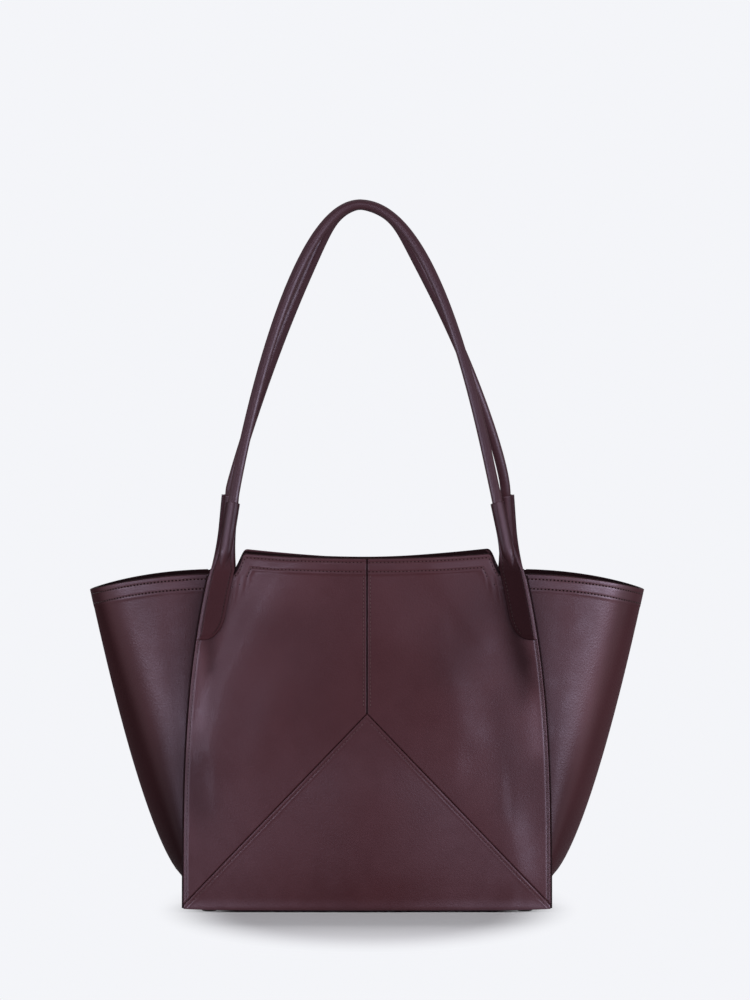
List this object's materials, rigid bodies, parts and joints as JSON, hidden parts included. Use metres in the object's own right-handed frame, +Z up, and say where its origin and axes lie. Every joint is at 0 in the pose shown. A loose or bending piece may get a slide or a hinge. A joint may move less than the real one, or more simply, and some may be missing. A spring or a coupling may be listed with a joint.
{
  "type": "mini tote bag",
  "caption": "Soft leather tote bag with V-seamed panels, gussets flared into wings, a stiffened base on small feet, and rolled shoulder handles that swing on sewn tabs.",
  "frame": {"origin": "on the surface the bag stands on, under the middle of the bag", "axes": "+Z up, -Y towards the front face of the picture, +X to the right as seen from the front"},
  "size_m": [0.3898, 0.146, 0.4985],
  "materials": {
    "panel_leather": "smooth dark burgundy calf with a soft sheen",
    "strap_leather": "smooth dark burgundy calf, edges painted",
    "facing_leather": "smooth dark burgundy calf",
    "lining": "dark suede-like lining",
    "board": "plain stiffening board",
    "cord_core": "twisted cotton cord",
    "foot_metal": "dark lacquered stud",
    "washer_steel": "plain steel"
  },
  "bodies": {
    "bag": {"front_left_panel": "panel_leather", "front_right_panel": "panel_leather", "front_lower_panel": "panel_leather", "back_left_panel": "panel_leather", "back_right_panel": "panel_leather", "back_lower_panel": "panel_leather", "left_gusset": "panel_leather", "right_gusset": "panel_leather", "base_panel": "panel_leather", "base_board": "board", "front_left_handle_tab": "strap_leather", "front_right_handle_tab": "strap_leather", "back_left_handle_tab": "strap_leather", "back_right_handle_tab": "strap_leather", "front_rim_facing": "facing_leather", "back_rim_facing": "facing_leather", "left_rim_facing": "facing_leather", "right_rim_facing": "facing_leather", "front_lining": "lining", "back_lining": "lining", "left_lining": "lining", "right_lining": "lining", "base_lining": "lining", "foot_front_left": "foot_metal", "foot_front_right": "foot_metal", "foot_back_left": "foot_metal", "foot_back_right": "foot_metal", "foot_washer_front_left": "washer_steel", "foot_washer_front_right": "washer_steel", "foot_washer_back_left": "washer_steel", "foot_washer_back_right": "washer_steel"},
    "front_handle": {"front_handle_wrap": "strap_leather", "front_handle_core": "cord_core", "front_left_handle_sleeve": "strap_leather", "front_right_handle_sleeve": "strap_leather"},
    "back_handle": {"back_handle_wrap": "strap_leather", "back_handle_core": "cord_core", "back_left_handle_sleeve": "strap_leather", "back_right_handle_sleeve": "strap_leather"}
  },
  "joints": [
    {"name": "front_handle_swing", "type": "hinge", "parent": "bag", "child": "front_handle", "pos_m": [0, -0.05812, 0.2395], "axis": [1, 0, 0], "range_deg": [0, 155]},
    {"name": "back_handle_swing", "type": "hinge", "parent": "bag", "child": "back_handle", "pos_m": [0, 0.05812, 0.2395], "axis": [-1, 0, 0], "range_deg": [0, 155]}
  ]
}
